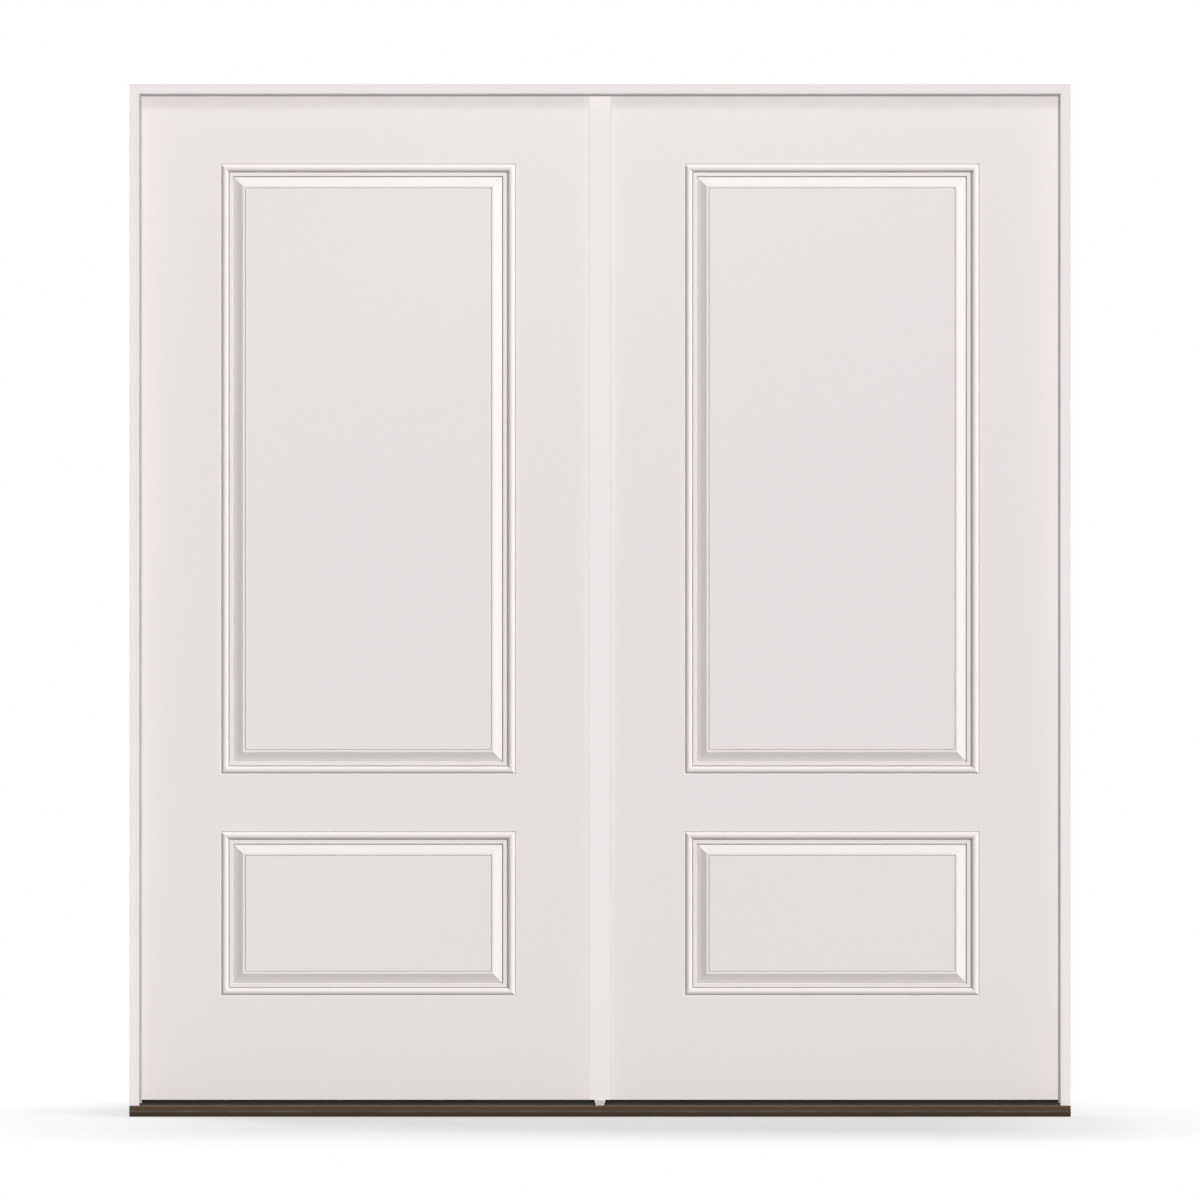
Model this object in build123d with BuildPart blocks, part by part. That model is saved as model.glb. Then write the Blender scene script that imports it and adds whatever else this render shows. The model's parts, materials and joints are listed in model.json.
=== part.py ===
from build123d import *
import os

# Double steel entry door in its frame, an inswing pair, in millimetres.
# X runs to the right as seen from outside, Y runs inwards through the doorway, Z runs up.
# The origin is the middle of the sill's underside, halfway through the depth of the frame.

# Whole unit
unit_width = 1892.0
unit_height = 2076.0
frame_depth = 92.0
clearance = 0.3

# Frame members: head and jambs share one rabbeted section
frame_face = 20.0
stop_projection = 8.0
frame_edge_round = 1.5
kerf_width = 2.6
kerf_depth = 8.0
kerf_inset = 2.9

# Seal pressed into the kerf of the stop
seal_gap = 6.0
seal_show = 4.0

# Door leaves
slab_thickness = 44.5
door_gap = 3.0
meeting_half_gap = 10.0
slab_lift = 11.0
sheet = 0.7
skin_return = 10.0
stile_width = 28.0
rail_height = 42.0

# Stamped panels of a leaf, from the bottom up
bottom_margin = 208.4
lower_panel_height = 332.2
middle_margin = 113.8
top_margin = 144.4
hinge_margin = 167.4
meeting_margin = 159.4

# Moulding pressed round a panel: reaches run in from its outer edge, heights stand out from the face
quirk_reach = 1.8
quirk_depth = 1.6
bead_crest_reach = 9.2
bead_height = 3.4
bead_shoulder_reach = 14.4
bead_shoulder_height = 1.4
crease_start_reach = 15.8
crease_end_reach = 17.6
crease_depth = 3.4
band_start_reach = 18.6
band_end_reach = 25.2
band_depth = 1.0
trough_reach = 26.6
trough_depth = 4.8
bevel_reach = 44.9
field_height = 4.2
rim_reach = 48.4
score_reach = 49.8
score_depth = 2.2
moulding_reach = 51.2
filling_depth = 9.0

# Sweep under each leaf
sweep_base = 2.0
sweep_width = 36.0
fin_thickness = 1.6
fin_pitch = 10.0
fin_count = 4

# Sill
sill_height = 22.0
sill_overhang = 30.0
nose_radius = 14.0
sill_wall = 2.0
channel_set_back = 50.0
channel_floor = 10.0
tread_count = 7
tread_pitch = 7.0
tread_width = 2.4
tread_depth = 0.8
cap_rise = 4.0
cap_round = 2.5
pad_thickness = 2.4
pad_depth = 32.0
pad_height = 45.0

# Hinges
hinge_height = 101.6
hinge_reach = 44.5
hinge_top_set = 178.0
hinge_bottom_set = 279.0
leaf_thickness = 2.5
knuckle_radius = 6.0
knuckle_count = 3
knuckle_gap = 0.4
pin_set_out = 6.5
pin_radius = 3.4
bore_radius = 3.5

# Astragal on the passive leaf, with its flush bolts
flange_width = 45.0
flange_thickness = 5.0
flange_gap = 4.5
flange_edge_round = 1.5
lip_thickness = 2.0
stem_width = 16.0
stem_wall = 2.0
bolt_size = 9.0
bolt_length = 320.0
bolt_throw = 14.0
bolt_set_back = 2.0
bolt_hole_clearance = 0.6
thumb_height = 24.0
thumb_width = 5.0
strike_length = 60.0
strike_width = 24.0
strike_thickness = 1.5
strike_hole_depth = 10.0
cap_hole_depth = 9.0
sill_pad_width = 17.6
sill_pad_depth = 10.0
sill_pad_gap = 0.5

# Places that follow from the sizes above
half_width = unit_width / 2
frame_front = -frame_depth / 2
frame_back = frame_depth / 2
rabbet_thickness = frame_face - stop_projection
rabbet_edge = half_width - rabbet_thickness
hinge_edge = rabbet_edge - door_gap
slab_width = hinge_edge - meeting_half_gap
slab_centre = (hinge_edge + meeting_half_gap) / 2
slab_back = frame_back
slab_front = slab_back - slab_thickness
slab_middle = (slab_front + slab_back) / 2
stop_back = slab_front - seal_gap
slab_bottom = sill_height + slab_lift
slab_top = unit_height - rabbet_thickness - door_gap
slab_height = slab_top - slab_bottom
slab_mid_height = (slab_top + slab_bottom) / 2

panel_width = slab_width - hinge_margin - meeting_margin
panel_centre = meeting_half_gap + meeting_margin + panel_width / 2
upper_panel_height = slab_height - bottom_margin - lower_panel_height - middle_margin - top_margin
lower_panel_level = slab_bottom + bottom_margin + lower_panel_height / 2
upper_panel_level = slab_top - top_margin - upper_panel_height / 2

cap_top = sill_height + cap_rise
channel_front = frame_back - channel_set_back
channel_back = frame_back - sill_wall
channel_middle = (channel_front + channel_back) / 2
channel_width = channel_back - channel_front

pin_x = hinge_edge + door_gap / 2
pin_y = slab_back + pin_set_out
top_hinge_level = slab_top - hinge_top_set - hinge_height / 2
bottom_hinge_level = slab_bottom + hinge_bottom_set + hinge_height / 2
middle_hinge_level = (top_hinge_level + bottom_hinge_level) / 2
hinge_levels = {"top": top_hinge_level, "middle": middle_hinge_level, "bottom": bottom_hinge_level}
knuckle_pitch = hinge_height / knuckle_count
notch_width = 2 * (knuckle_radius + clearance)

seal_line = unit_height - frame_face - seal_show
flange_back = slab_front - flange_gap
flange_front = flange_back - flange_thickness
flange_top = seal_line - sill_pad_gap
stem_face = stem_width - meeting_half_gap
bolt_x = (stem_face - meeting_half_gap) / 2
bolt_cell = bolt_size + 2 * clearance
bolt_hole = bolt_size + 2 * bolt_hole_clearance

sides = {"left": -1, "right": 1}

# Planes that carry the frame section: sketch x runs in from the outer face, sketch y runs inwards
member_planes = {
    "left": Plane((-half_width, 0, sill_height), x_dir=(1, 0, 0), z_dir=(0, 0, 1)),
    "right": Plane((half_width, 0, unit_height), x_dir=(-1, 0, 0), z_dir=(0, 0, -1)),
    "head": Plane((-half_width, 0, unit_height), x_dir=(0, 0, -1), z_dir=(1, 0, 0)),
}
mitre_planes = {
    "left": Plane((-half_width, 0, unit_height), z_dir=(1, 0, 1)),
    "right": Plane((half_width, 0, unit_height), z_dir=(-1, 0, 1)),
}

os.makedirs("parts", exist_ok=True)


def save(piece, name):
    piece.part.label = name
    export_step(piece.part, f"parts/{name}.step")


# Frame

def frame_section(plane):
    """Rabbeted section with its stop to the outside and a kerf in the back of the stop."""
    kerf_near = frame_face - kerf_inset
    kerf_far = kerf_near - kerf_width
    with BuildSketch(plane) as section:
        with BuildLine():
            Polyline(
                (0, frame_front),
                (frame_face, frame_front),
                (frame_face, stop_back),
                (kerf_near, stop_back),
                (kerf_near, stop_back - kerf_depth),
                (kerf_far, stop_back - kerf_depth),
                (kerf_far, stop_back),
                (rabbet_thickness, stop_back),
                (rabbet_thickness, frame_back),
                (0, frame_back),
                close=True,
            )
        make_face()
        fillet(section.vertices().group_by(Axis.Y)[0], frame_edge_round)
    return section.sketch


def seal_section(plane):
    """Round-nosed seal lying on the back of the stop, with its barb in the kerf."""
    seal_back = slab_front - clearance
    nose = (seal_back - stop_back) / 2
    tip = frame_face + seal_show
    heel = rabbet_thickness + clearance
    barb_near = frame_face - kerf_inset - clearance
    barb_far = frame_face - kerf_inset - kerf_width + clearance
    barb_end = stop_back - kerf_depth + clearance
    with BuildSketch(plane) as section:
        with BuildLine():
            ThreePointArc((tip - nose, seal_back), (tip, stop_back + nose), (tip - nose, stop_back))
            Polyline(
                (tip - nose, stop_back),
                (barb_near, stop_back),
                (barb_near, barb_end),
                (barb_far, barb_end),
                (barb_far, stop_back),
                (heel, stop_back),
                (heel, seal_back),
                (tip - nose, seal_back),
            )
        make_face()
    return section.sketch


def leaf_outline(face_x, level, margin):
    """Hinge leaf drawn on a door edge or jamb, from the pin line towards the outside."""
    with BuildSketch(Plane((face_x, pin_y, level), x_dir=(0, -1, 0), z_dir=(-1, 0, 0))) as outline:
        with Locations((hinge_reach / 2, 0)):
            Rectangle(hinge_reach + 2 * margin, hinge_height + 2 * margin)
    return outline.sketch


def make_jamb(name, side):
    with BuildPart() as jamb:
        extrude(frame_section(member_planes[name]), amount=unit_height - sill_height)
        split(bisect_by=mitre_planes[name], keep=Keep.BOTTOM)
        with BuildSketch(Plane.XY.offset(channel_floor)):
            with Locations((side * (half_width - rabbet_thickness / 2), channel_middle)):
                Rectangle(rabbet_thickness, channel_width - 2 * clearance)
        extrude(amount=sill_height - channel_floor)
        for level in hinge_levels.values():
            pocket = leaf_outline(side * rabbet_edge, level, clearance)
            extrude(pocket, amount=-side * leaf_thickness, mode=Mode.SUBTRACT)
    save(jamb, f"{name}_jamb")


def make_jamb_seal(name):
    with BuildPart() as seal:
        extrude(seal_section(member_planes[name]), amount=unit_height - sill_height)
        split(bisect_by=mitre_planes[name], keep=Keep.BOTTOM)
        split(bisect_by=Plane.XY.offset(cap_top + clearance), keep=Keep.TOP)
    save(seal, f"{name}_jamb_seal")


def make_corner_pad(name, side):
    with BuildPart() as pad:
        with BuildSketch(Plane.XY.offset(cap_top)):
            with Locations((side * (rabbet_edge - pad_thickness / 2), slab_middle)):
                Rectangle(pad_thickness, pad_depth)
        extrude(amount=pad_height)
    save(pad, f"{name}_corner_pad")


for name, side in sides.items():
    make_jamb(name, side)
    make_jamb_seal(name)
    make_corner_pad(name, side)

with BuildPart() as head_jamb:
    extrude(frame_section(member_planes["head"]), amount=unit_width)
    split(bisect_by=mitre_planes["left"], keep=Keep.TOP)
    split(bisect_by=mitre_planes["right"], keep=Keep.TOP)
    with BuildSketch(Plane.XY.offset(unit_height - rabbet_thickness)):
        with Locations((bolt_x, slab_middle)):
            Rectangle(strike_length, strike_width)
    extrude(amount=strike_thickness, mode=Mode.SUBTRACT)
    with BuildSketch(Plane.XY.offset(unit_height - rabbet_thickness)):
        with Locations((bolt_x, slab_middle)):
            Rectangle(bolt_hole, bolt_hole)
    extrude(amount=strike_hole_depth, mode=Mode.SUBTRACT)
save(head_jamb, "head_jamb")

with BuildPart() as head_seal:
    extrude(seal_section(member_planes["head"]), amount=unit_width)
    split(bisect_by=mitre_planes["left"], keep=Keep.TOP)
    split(bisect_by=mitre_planes["right"], keep=Keep.TOP)
save(head_seal, "head_seal")

with BuildPart() as head_bolt_strike:
    with BuildSketch(Plane.XY.offset(unit_height - rabbet_thickness)):
        with Locations((bolt_x, slab_middle)):
            Rectangle(strike_length, strike_width)
            Rectangle(bolt_hole, bolt_hole, mode=Mode.SUBTRACT)
    extrude(amount=strike_thickness)
save(head_bolt_strike, "head_bolt_strike")


# Sill: a core under a thin drawn deck, with the cap in a channel below the leaves

sill_front = frame_front - sill_overhang
nose_top = sill_front + nose_radius
nose_foot = sill_height - nose_radius
deck_under = sill_height - sill_wall
channel_under = channel_floor - sill_wall
web_front = channel_front - sill_wall

with BuildPart() as sill_core:
    with BuildSketch(Plane.YZ):
        with BuildLine():
            Polyline(
                (nose_top, 0),
                (nose_top, deck_under),
                (web_front, deck_under),
                (web_front, channel_under),
                (frame_back, channel_under),
                (frame_back, 0),
                close=True,
            )
        make_face()
    extrude(amount=half_width, both=True)
save(sill_core, "sill_core")

with BuildPart() as sill_deck:
    with BuildSketch(Plane.YZ):
        with BuildLine():
            Line((sill_front, 0), (sill_front, nose_foot))
            RadiusArc((sill_front, nose_foot), (nose_top, sill_height), nose_radius)
            Polyline(
                (nose_top, sill_height),
                (channel_front, sill_height),
                (channel_front, channel_floor),
                (channel_back, channel_floor),
                (channel_back, sill_height),
                (frame_back, sill_height),
                (frame_back, channel_under),
                (web_front, channel_under),
                (web_front, deck_under),
                (nose_top, deck_under),
            )
            RadiusArc((sill_front + sill_wall, nose_foot), (nose_top, deck_under), nose_radius - sill_wall)
            Polyline((sill_front + sill_wall, nose_foot), (sill_front + sill_wall, 0), (sill_front, 0))
        make_face()
        with Locations(((nose_top + web_front) / 2, sill_height)):
            with GridLocations(tread_pitch, tread_pitch, tread_count, 1):
                Rectangle(tread_width, 2 * tread_depth, mode=Mode.SUBTRACT)
    extrude(amount=half_width, both=True)
save(sill_deck, "sill_deck")

with BuildPart() as sill_cap:
    with BuildSketch(Plane.YZ) as cap_section:
        with Locations((channel_middle, (cap_top + channel_floor) / 2)):
            Rectangle(channel_width - 2 * clearance, cap_top - channel_floor)
        fillet(cap_section.vertices().group_by(Axis.Y)[-1], cap_round)
    extrude(amount=rabbet_edge - clearance, both=True)
    with BuildSketch(Plane.XY.offset(cap_top)):
        with Locations((bolt_x, slab_middle)):
            Rectangle(bolt_hole, bolt_hole)
    extrude(amount=-cap_hole_depth, mode=Mode.SUBTRACT)
save(sill_cap, "sill_cap")

with BuildPart() as sill_pad:
    with BuildSketch(Plane.XY.offset(sill_height)):
        with Locations((0, channel_front - sill_pad_depth / 2)):
            Rectangle(sill_pad_width, sill_pad_depth)
    extrude(amount=slab_lift - sill_pad_gap)
save(sill_pad, "astragal_sill_pad")


# Hinges: the jamb leaf holds a fixed pin in its two end knuckles, the door leaf turns on it

def knuckle_places(side, level, first):
    middle = (knuckle_count - 1) / 2
    rows = range(first, knuckle_count, 2)
    return [(side * pin_x, pin_y, level + (row - middle) * knuckle_pitch) for row in rows]


def make_jamb_hinge_leaf(name, side, place, level):
    with BuildPart() as leaf:
        extrude(leaf_outline(side * rabbet_edge, level, 0), amount=-side * leaf_thickness)
        with Locations(*knuckle_places(side, level, 1)):
            Box(notch_width, notch_width, knuckle_pitch + knuckle_gap, mode=Mode.SUBTRACT)
        with Locations(*knuckle_places(side, level, 0)):
            Cylinder(knuckle_radius, knuckle_pitch - knuckle_gap)
        with Locations((side * pin_x, pin_y, level)):
            Cylinder(pin_radius, hinge_height - knuckle_pitch)
    save(leaf, f"{name}_{place}_jamb_hinge_leaf")


def make_door_hinge_leaf(name, side, place, level):
    with BuildPart() as leaf:
        extrude(leaf_outline(side * hinge_edge, level, 0), amount=side * leaf_thickness)
        with Locations(*knuckle_places(side, level, 0)):
            Box(notch_width, notch_width, knuckle_pitch + knuckle_gap, mode=Mode.SUBTRACT)
        with Locations(*knuckle_places(side, level, 1)):
            Cylinder(knuckle_radius, knuckle_pitch - knuckle_gap)
            Cylinder(bore_radius, knuckle_pitch, mode=Mode.SUBTRACT)
    save(leaf, f"{name}_{place}_door_hinge_leaf")


for name, side in sides.items():
    for place, level in hinge_levels.items():
        make_jamb_hinge_leaf(name, side, place, level)
        make_door_hinge_leaf(name, side, place, level)


# Stamped panels, drawn with the face plane at Y zero and the outside towards minus Y

def moulding_curve(sink):
    """Pressed moulding from its outer edge to the raised field, lowered by the given sink."""
    with BuildLine() as curve:
        Line((0, -sink), (quirk_reach, -quirk_depth - sink))
        ThreePointArc(
            (quirk_reach, -quirk_depth - sink),
            (bead_crest_reach, bead_height - sink),
            (bead_shoulder_reach, bead_shoulder_height - sink),
        )
        Polyline(
            (bead_shoulder_reach, bead_shoulder_height - sink),
            (crease_start_reach, -crease_depth - sink),
            (crease_end_reach, -crease_depth - sink),
            (band_start_reach, -band_depth - sink),
            (band_end_reach, -band_depth - sink),
            (trough_reach, -trough_depth - sink),
            (bevel_reach, field_height - sink),
            (rim_reach, field_height - sink),
            (score_reach, field_height - score_depth - sink),
            (moulding_reach, field_height - sink),
        )
    return curve.line


def panel_path(height):
    """Outer edge of a panel, started halfway along its lower side."""
    with BuildLine() as edge:
        Polyline(
            (0, 0, -height / 2),
            (panel_width / 2, 0, -height / 2),
            (panel_width / 2, 0, height / 2),
            (-panel_width / 2, 0, height / 2),
            (-panel_width / 2, 0, -height / 2),
            close=True,
        )
    return edge.wires()[0]


def section_plane(height):
    return Plane((0, 0, -height / 2), x_dir=(0, 0, 1), z_dir=(1, 0, 0))


def pressed_panel(height):
    """Sheet of one panel: moulding with mitred corners round a flat raised field."""
    with BuildSketch(section_plane(height)) as section:
        with BuildLine():
            add(moulding_curve(0))
            add(moulding_curve(sheet))
            Line((0, 0), (0, -sheet))
            Line((moulding_reach, field_height), (moulding_reach, field_height - sheet))
        make_face()
    with BuildPart() as panel:
        sweep(section.sketch, path=panel_path(height), transition=Transition.RIGHT)
        with BuildSketch(Plane.XZ.offset(field_height)):
            Rectangle(panel_width - 2 * moulding_reach, height - 2 * moulding_reach)
        extrude(amount=-sheet)
    return panel.part


def panel_filling(height):
    """Foam behind one panel: straight runs along the back of its sheet, down to a flat floor in the core."""
    with BuildSketch(section_plane(height)) as section:
        with BuildLine():
            Polyline(
                (0, -quirk_depth - sheet),
                (bead_shoulder_reach, -quirk_depth - sheet),
                (crease_start_reach, -crease_depth - sheet),
                (trough_reach, -trough_depth - sheet),
                (bevel_reach, field_height - score_depth - sheet),
                (moulding_reach, field_height - score_depth - sheet),
                (moulding_reach, -filling_depth),
                (0, -filling_depth),
                close=True,
            )
        make_face()
    with BuildPart() as filling:
        sweep(section.sketch, path=panel_path(height), transition=Transition.RIGHT)
        with BuildSketch(Plane.XZ.offset(field_height - sheet)):
            Rectangle(panel_width - 2 * moulding_reach, height - 2 * moulding_reach)
        extrude(amount=sheet - field_height - filling_depth)
    return filling.part


panels = {lower_panel_level: lower_panel_height, upper_panel_level: upper_panel_height}
pressed_panels = {level: pressed_panel(height) for level, height in panels.items()}
panel_fillings = {level: panel_filling(height) for level, height in panels.items()}

# Each face of a leaf: the plane of its flat, the way into the leaf, and the turn of its panels
faces = {"exterior": (slab_front, 1, 0), "interior": (slab_back, -1, 180)}


# Leaves

def make_skin(name, side, face):
    face_y, inwards, turn = faces[face]
    return_y = face_y + inwards * skin_return / 2
    with BuildPart() as skin:
        with Locations((side * slab_centre, face_y + inwards * sheet / 2, slab_mid_height)):
            Box(slab_width, sheet, slab_height)
        for level, height in panels.items():
            with Locations((side * panel_centre, face_y, level)):
                Box(panel_width, 2 * sheet, height, mode=Mode.SUBTRACT)
                add(pressed_panels[level], rotation=(0, 0, turn))
        with Locations(
            (side * (hinge_edge - sheet / 2), return_y, slab_mid_height),
            (side * (meeting_half_gap + sheet / 2), return_y, slab_mid_height),
        ):
            Box(sheet, skin_return, slab_height)
        for level in hinge_levels.values():
            pocket = leaf_outline(side * hinge_edge, level, clearance)
            extrude(pocket, amount=side * leaf_thickness, mode=Mode.SUBTRACT)
    save(skin, f"{name}_{face}_skin")


def make_core(name, side):
    core_width = slab_width - 2 * (sheet + stile_width)
    core_thickness = slab_thickness - 2 * sheet
    with BuildPart() as core:
        with Locations((side * slab_centre, slab_middle, slab_mid_height)):
            Box(core_width, core_thickness, slab_height - 2 * rail_height)
        for face_y, inwards, turn in faces.values():
            for level, height in panels.items():
                with Locations((side * panel_centre, face_y, level)):
                    Box(panel_width, 2 * filling_depth, height, mode=Mode.SUBTRACT)
                    add(panel_fillings[level], rotation=(0, 0, turn))
    save(core, f"{name}_foam_core")


def make_stiles(name, side):
    depth = slab_thickness - 2 * sheet
    with BuildPart() as hinge_stile:
        with Locations((side * (hinge_edge - sheet - stile_width / 2), slab_middle, slab_mid_height)):
            Box(stile_width, depth, slab_height)
        for level in hinge_levels.values():
            pocket = leaf_outline(side * hinge_edge, level, clearance)
            extrude(pocket, amount=side * leaf_thickness, mode=Mode.SUBTRACT)
    save(hinge_stile, f"{name}_hinge_stile")
    with BuildPart() as meeting_stile:
        with Locations((side * (meeting_half_gap + sheet + stile_width / 2), slab_middle, slab_mid_height)):
            Box(stile_width, depth, slab_height)
    save(meeting_stile, f"{name}_meeting_stile")


def make_rails(name, side):
    length = slab_width - 2 * (sheet + stile_width)
    levels = {"top": slab_top - rail_height / 2, "bottom": slab_bottom + rail_height / 2}
    for place, level in levels.items():
        with BuildPart() as rail:
            with Locations((side * slab_centre, slab_middle, level)):
                Box(length, slab_thickness - 2 * sheet, rail_height)
        save(rail, f"{name}_{place}_rail")


def make_sweep(name, side):
    fin_end = cap_top + clearance
    fin_length = slab_bottom - fin_end
    with BuildPart() as door_sweep:
        with BuildSketch(Plane.YZ.offset(side * slab_centre)):
            with Locations((slab_middle, slab_bottom - sweep_base / 2)):
                Rectangle(sweep_width, sweep_base)
            with Locations((slab_middle, slab_bottom - fin_length / 2)):
                with GridLocations(fin_pitch, fin_pitch, fin_count, 1):
                    Rectangle(fin_thickness, fin_length)
        extrude(amount=slab_width / 2, both=True)
    save(door_sweep, f"{name}_door_sweep")


for name, side in sides.items():
    for face in faces:
        make_skin(name, side, face)
    make_core(name, side)
    make_stiles(name, side)
    make_rails(name, side)
    make_sweep(name, side)


# Astragal: a T-shaped extrusion on the meeting edge of the passive leaf, the left one

stem_middle = (flange_back + slab_back) / 2
stem_depth = slab_back - flange_back
front_cell_depth = slab_middle - bolt_cell / 2 - flange_back - 2 * stem_wall
back_cell_depth = slab_back - slab_middle - bolt_cell / 2 - 2 * stem_wall
cell_width = stem_width - 2 * stem_wall
thumb_levels = {"top": slab_top - bolt_length, "bottom": slab_bottom + bolt_length}
slot_height = thumb_height + bolt_throw + 2 * clearance

with BuildPart() as astragal:
    with BuildSketch(Plane.XY.offset(slab_bottom)) as section:
        with Locations((0, flange_back - flange_thickness / 2)):
            Rectangle(flange_width, flange_thickness)
        fillet(section.vertices().group_by(Axis.Y)[0], flange_edge_round)
        with Locations(((lip_thickness - flange_width) / 2, flange_back + flange_gap / 2)):
            Rectangle(lip_thickness, flange_gap)
        with Locations((bolt_x, stem_middle)):
            Rectangle(stem_width, stem_depth)
        with Locations((bolt_x, slab_middle)):
            Rectangle(bolt_cell, bolt_cell, mode=Mode.SUBTRACT)
        with Locations((bolt_x, flange_back + stem_wall + front_cell_depth / 2)):
            Rectangle(cell_width, front_cell_depth, mode=Mode.SUBTRACT)
        with Locations((bolt_x, slab_back - stem_wall - back_cell_depth / 2)):
            Rectangle(cell_width, back_cell_depth, mode=Mode.SUBTRACT)
    extrude(amount=slab_height)
    with BuildSketch(Plane.XY.offset(flange_top)):
        with Locations((0, flange_front)):
            Rectangle(2 * flange_width, 2 * (slab_front + clearance - flange_front))
    extrude(amount=slab_top - flange_top, mode=Mode.SUBTRACT)
    for place, level in thumb_levels.items():
        slot_shift = bolt_throw / 2 if place == "top" else -bolt_throw / 2
        with BuildSketch(Plane.YZ.offset(bolt_x)):
            with Locations((slab_middle, level + slot_shift)):
                Rectangle(thumb_width + 2 * clearance, slot_height)
        extrude(amount=stem_width, mode=Mode.SUBTRACT)
save(astragal, "astragal")

with BuildPart() as astragal_seal:
    seal_depth = flange_gap - clearance
    seal_start = stem_face + clearance
    seal_end = flange_width / 2 - lip_thickness
    with BuildSketch(Plane.XY.offset(slab_bottom)):
        with BuildLine():
            ThreePointArc(
                (seal_end - seal_depth / 2, flange_back),
                (seal_end, flange_back + seal_depth / 2),
                (seal_end - seal_depth / 2, flange_back + seal_depth),
            )
            Polyline(
                (seal_end - seal_depth / 2, flange_back + seal_depth),
                (seal_start, flange_back + seal_depth),
                (seal_start, flange_back),
                (seal_end - seal_depth / 2, flange_back),
            )
        make_face()
    extrude(amount=flange_top - slab_bottom)
save(astragal_seal, "astragal_seal")


def make_bolt(place, tip_level, way, thumb_level):
    """Flush bolt with its tip set back in the stem; way is the direction of its throw."""
    with BuildPart() as bolt:
        with BuildSketch(Plane.XY.offset(tip_level)):
            with Locations((bolt_x, slab_middle)):
                Rectangle(bolt_size, bolt_size)
        extrude(amount=-way * bolt_length)
        with BuildSketch(Plane.YZ.offset(bolt_x)):
            with Locations((slab_middle, thumb_level)):
                Rectangle(thumb_width, thumb_height)
        extrude(amount=stem_face - bolt_x - clearance)
    save(bolt, f"{place}_flush_bolt")


make_bolt("top", slab_top - bolt_set_back, 1, thumb_levels["top"])
make_bolt("bottom", slab_bottom + bolt_set_back, -1, thumb_levels["bottom"])
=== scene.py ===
# %% [markdown]
# # A double steel entry door, dressed in Blender
# The solids of the door come from a CAD model and keep their places. This lesson gives them the
# finishes of the real thing: primed steel, primed wood, grey seals and a dark bronze sill. Where the
# solids are too plain, it adds finer pieces over them. Lengths are metres, +Z is up, and the outside
# of the house is towards -Y.

# %% Load the solids
import json
import math

import bmesh
import bpy
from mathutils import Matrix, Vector


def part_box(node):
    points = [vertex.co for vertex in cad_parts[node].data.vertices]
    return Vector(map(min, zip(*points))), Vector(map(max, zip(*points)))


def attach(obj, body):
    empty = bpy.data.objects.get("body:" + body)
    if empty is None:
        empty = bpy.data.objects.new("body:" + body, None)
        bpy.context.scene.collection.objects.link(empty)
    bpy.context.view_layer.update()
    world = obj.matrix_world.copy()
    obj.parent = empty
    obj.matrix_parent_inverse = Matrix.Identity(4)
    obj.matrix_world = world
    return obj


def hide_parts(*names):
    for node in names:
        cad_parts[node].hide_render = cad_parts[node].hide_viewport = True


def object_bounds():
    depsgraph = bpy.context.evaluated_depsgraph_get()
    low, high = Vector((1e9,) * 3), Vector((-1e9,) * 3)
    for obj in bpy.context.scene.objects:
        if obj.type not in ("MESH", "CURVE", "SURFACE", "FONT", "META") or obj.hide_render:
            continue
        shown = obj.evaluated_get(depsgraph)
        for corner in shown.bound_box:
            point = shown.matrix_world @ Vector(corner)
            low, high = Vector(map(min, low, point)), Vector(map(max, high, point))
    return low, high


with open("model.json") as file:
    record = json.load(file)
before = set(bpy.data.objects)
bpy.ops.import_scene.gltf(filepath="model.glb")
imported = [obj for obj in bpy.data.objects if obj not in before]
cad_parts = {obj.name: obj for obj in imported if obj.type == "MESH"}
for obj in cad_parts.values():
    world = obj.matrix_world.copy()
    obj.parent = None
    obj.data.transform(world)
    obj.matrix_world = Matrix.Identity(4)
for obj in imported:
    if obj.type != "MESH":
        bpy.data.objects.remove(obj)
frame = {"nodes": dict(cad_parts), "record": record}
cad_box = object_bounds()
nodes = frame["nodes"]
scene = bpy.context.scene
scene.view_settings.view_transform = "Standard"
MM = 0.001
print("solids:", len(nodes), "box:", [list(corner) for corner in cad_box])

# %% [markdown]
# ## Node trees without clutter
# Every finish below is a small network of nodes. It could be drawn by hand in the shader editor, but a
# script can be read and changed. Three helpers do the general work: one adds a node and sets its
# sockets, one starts a shared group, and one starts a material with its Principled shader. The short
# ones after them add the nodes that are needed most, and give back the output to link on.

# %% Helpers that start trees and add nodes
FLOAT, VECTOR, COLOR = "NodeSocketFloat", "NodeSocketVector", "NodeSocketColor"


def add_node(tree, kind, sockets=None, **settings):
    """Adds a node; sockets maps an input's name or number to a value or to another node's output."""
    node = tree.nodes.new(kind)
    for title, value in settings.items():
        setattr(node, title, value)
    for title, value in (sockets or {}).items():
        if isinstance(value, bpy.types.NodeSocket):
            tree.links.new(value, node.inputs[title])
        else:
            node.inputs[title].default_value = value
    return node


def start_group(name, kind, inputs, outputs):
    """A node group with named inputs (name: (socket type, default)) and outputs (name: socket type)."""
    group = bpy.data.node_groups.new(name, kind)
    for title, (socket, default) in inputs.items():
        made = group.interface.new_socket(title, in_out="INPUT", socket_type=socket)
        if default is not None:
            made.default_value = default
    for title, socket in outputs.items():
        group.interface.new_socket(title, in_out="OUTPUT", socket_type=socket)
    return group, group.nodes.new("NodeGroupInput"), group.nodes.new("NodeGroupOutput")


def start_material(name, **shader_values):
    """A material whose Principled shader has these plain values; returns its tree and shader too."""
    material = bpy.data.materials.new(name)
    material.use_nodes = True
    tree = material.node_tree
    shader = tree.nodes["Principled BSDF"]
    for title, value in shader_values.items():
        shader.inputs[title].default_value = value
    return material, tree, shader


def place_group(tree, group, sockets):
    return add_node(tree, "ShaderNodeGroup", sockets, node_tree=group)


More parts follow.
